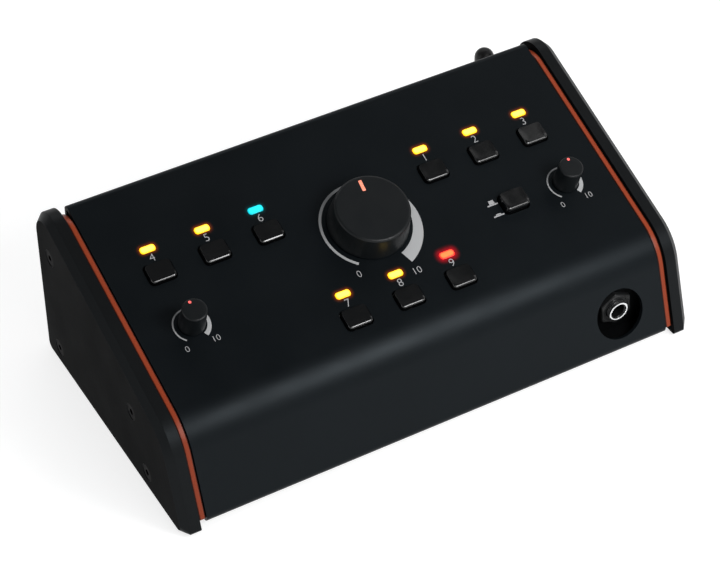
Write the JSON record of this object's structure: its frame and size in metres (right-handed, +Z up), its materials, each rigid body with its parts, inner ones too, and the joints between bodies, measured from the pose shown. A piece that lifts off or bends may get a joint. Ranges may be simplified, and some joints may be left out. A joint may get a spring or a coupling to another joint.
{
  "type": "studio monitor controller",
  "caption": "Wedge-shaped desktop audio controller with a bent metal cover, thick side cheeks over orange accent plates, push buttons, lit lamps, dials and a front headphone socket.",
  "frame": {"origin": "centre of the overall footprint, on the surface that the rubber feet stand on", "axes": "+Z up, front face towards -Y, +X to the user's right along the longest side"},
  "size_m": [0.25, 0.145, 0.0823],
  "materials": {
    "cover": "matt graphite powder coat",
    "chassis": "matt black powder coat",
    "rear_panel": "matt graphite powder coat",
    "cheeks": "matt black powder coat",
    "accent": "satin orange-red lacquer",
    "screws": "black oxide",
    "press_nuts": "zinc plated",
    "feet": "matt",
    "boards": "green solder mask",
    "standoffs": "turned",
    "amber_windows": "clear amber, lit",
    "cyan_window": "clear cyan, lit",
    "red_window": "clear red, lit",
    "lamp_bodies": "white moulding",
    "switch_housings": "moulded",
    "button_caps": "satin moulded",
    "pot_housings": "moulded and pressed",
    "pot_nut": "nickel plated",
    "shafts": "turned",
    "knobs": "matt, soft touch",
    "pointers": "printed salmon red",
    "bracket": "matt black",
    "phones_jack": "moulded",
    "phones_nose": "polished",
    "phones_nut": "black moulded",
    "line_jacks": "moulded",
    "line_nuts": "nickel plated",
    "aux_jack": "moulded",
    "dc_inlet": "moulded",
    "power_switch": "moulded",
    "power_rocker": "moulded",
    "antenna_socket": "gilt, turned",
    "antenna": "moulded over brass",
    "ribbon": "flat insulated cable"
  },
  "bodies": {
    "case": {"cover": "cover", "chassis": "chassis", "rear_panel": "rear_panel", "cheek_left": "cheeks", "cheek_right": "cheeks", "accent_left": "accent", "accent_right": "accent", "cheek_screws_left": "screws", "cheek_screws_right": "screws", "case_screws": "screws", "press_nuts": "press_nuts", "feet": "feet", "main_board": "boards", "rear_board": "boards", "board_standoffs": "standoffs", "amber_windows": "amber_windows", "cyan_window": "cyan_window", "red_window": "red_window", "lamp_bodies": "lamp_bodies", "button_switches": "switch_housings", "latch_switch": "switch_housings", "main_pot": "pot_housings", "left_pot": "pot_housings", "right_pot": "pot_housings", "main_pot_nut": "pot_nut", "phones_bracket": "bracket", "phones_jack": "phones_jack", "phones_nose": "phones_nose", "phones_nut": "phones_nut", "line_jacks": "line_jacks", "line_jack_nuts": "line_nuts", "aux_jack": "aux_jack", "dc_inlet": "dc_inlet", "power_switch": "power_switch", "antenna_socket": "antenna_socket", "ribbon_cable": "ribbon"},
    "main_dial": {"main_shaft": "shafts", "main_knob": "knobs", "main_pointer": "pointers"},
    "left_dial": {"left_shaft": "shafts", "left_knob": "knobs", "left_dot": "pointers"},
    "right_dial": {"right_shaft": "shafts", "right_knob": "knobs", "right_dot": "pointers"},
    "key_left_1": {"button_left_1": "button_caps"},
    "key_left_2": {"button_left_2": "button_caps"},
    "key_left_3": {"button_left_3": "button_caps"},
    "key_right_1": {"button_right_1": "button_caps"},
    "key_right_2": {"button_right_2": "button_caps"},
    "key_right_3": {"button_right_3": "button_caps"},
    "key_lower_1": {"button_lower_1": "button_caps"},
    "key_lower_2": {"button_lower_2": "button_caps"},
    "key_lower_3": {"button_lower_3": "button_caps"},
    "latch_key": {"latch_button": "button_caps"},
    "rocker": {"power_rocker": "power_rocker"},
    "antenna_hinge": {"antenna_knuckle": "antenna"},
    "antenna_tip": {"antenna_stub": "antenna"}
  },
  "joints": [
    {"name": "main_dial_turn", "type": "hinge", "parent": "case", "child": "main_dial", "pos_m": [0.0009, -0.00246, 0.06383], "axis": [0, -0.3322, 0.9432], "range_deg": [-150, 150]},
    {"name": "left_dial_turn", "type": "hinge", "parent": "case", "child": "left_dial", "pos_m": [-0.0904, -0.01632, 0.05895], "axis": [0, -0.3322, 0.9432], "range_deg": [-150, 150]},
    {"name": "right_dial_turn", "type": "hinge", "parent": "case", "child": "right_dial", "pos_m": [0.0922, -0.01632, 0.05895], "axis": [0, -0.3322, 0.9432], "range_deg": [-150, 150]},
    {"name": "key_left_1_press", "type": "slide", "parent": "case", "child": "key_left_1", "axis": [0, 0.3322, -0.9432], "range_m": [0, 0.0012], "stiffness_N_per_m": 600, "springref_m": -0.0012},
    {"name": "key_left_2_press", "type": "slide", "parent": "case", "child": "key_left_2", "axis": [0, 0.3322, -0.9432], "range_m": [0, 0.0012], "stiffness_N_per_m": 600, "springref_m": -0.0012},
    {"name": "key_left_3_press", "type": "slide", "parent": "case", "child": "key_left_3", "axis": [0, 0.3322, -0.9432], "range_m": [0, 0.0012], "stiffness_N_per_m": 600, "springref_m": -0.0012},
    {"name": "key_right_1_press", "type": "slide", "parent": "case", "child": "key_right_1", "axis": [0, 0.3322, -0.9432], "range_m": [0, 0.0012], "stiffness_N_per_m": 600, "springref_m": -0.0012},
    {"name": "key_right_2_press", "type": "slide", "parent": "case", "child": "key_right_2", "axis": [0, 0.3322, -0.9432], "range_m": [0, 0.0012], "stiffness_N_per_m": 600, "springref_m": -0.0012},
    {"name": "key_right_3_press", "type": "slide", "parent": "case", "child": "key_right_3", "axis": [0, 0.3322, -0.9432], "range_m": [0, 0.0012], "stiffness_N_per_m": 600, "springref_m": -0.0012},
    {"name": "key_lower_1_press", "type": "slide", "parent": "case", "child": "key_lower_1", "axis": [0, 0.3322, -0.9432], "range_m": [0, 0.0012], "stiffness_N_per_m": 600, "springref_m": -0.0012},
    {"name": "key_lower_2_press", "type": "slide", "parent": "case", "child": "key_lower_2", "axis": [0, 0.3322, -0.9432], "range_m": [0, 0.0012], "stiffness_N_per_m": 600, "springref_m": -0.0012},
    {"name": "key_lower_3_press", "type": "slide", "parent": "case", "child": "key_lower_3", "axis": [0, 0.3322, -0.9432], "range_m": [0, 0.0012], "stiffness_N_per_m": 600, "springref_m": -0.0012},
    {"name": "latch_key_press", "type": "slide", "parent": "case", "child": "latch_key", "axis": [0, 0.3322, -0.9432], "range_m": [0, 0.0025]},
    {"name": "rocker_tilt", "type": "hinge", "parent": "case", "child": "rocker", "pos_m": [-0.09, 0.04783, 0.024], "axis": [1, 0, 0], "range_deg": [-18, 0]},
    {"name": "antenna_swing", "type": "hinge", "parent": "case", "child": "antenna_hinge", "pos_m": [0.103, 0.05933, 0.0286], "axis": [0, 1, 0], "range_deg": [-90, 90]},
    {"name": "antenna_tilt", "type": "hinge", "parent": "antenna_hinge", "child": "antenna_tip", "pos_m": [0.103, 0.06793, 0.0286], "axis": [-1, 0, 0], "range_deg": [0, 90]}
  ]
}
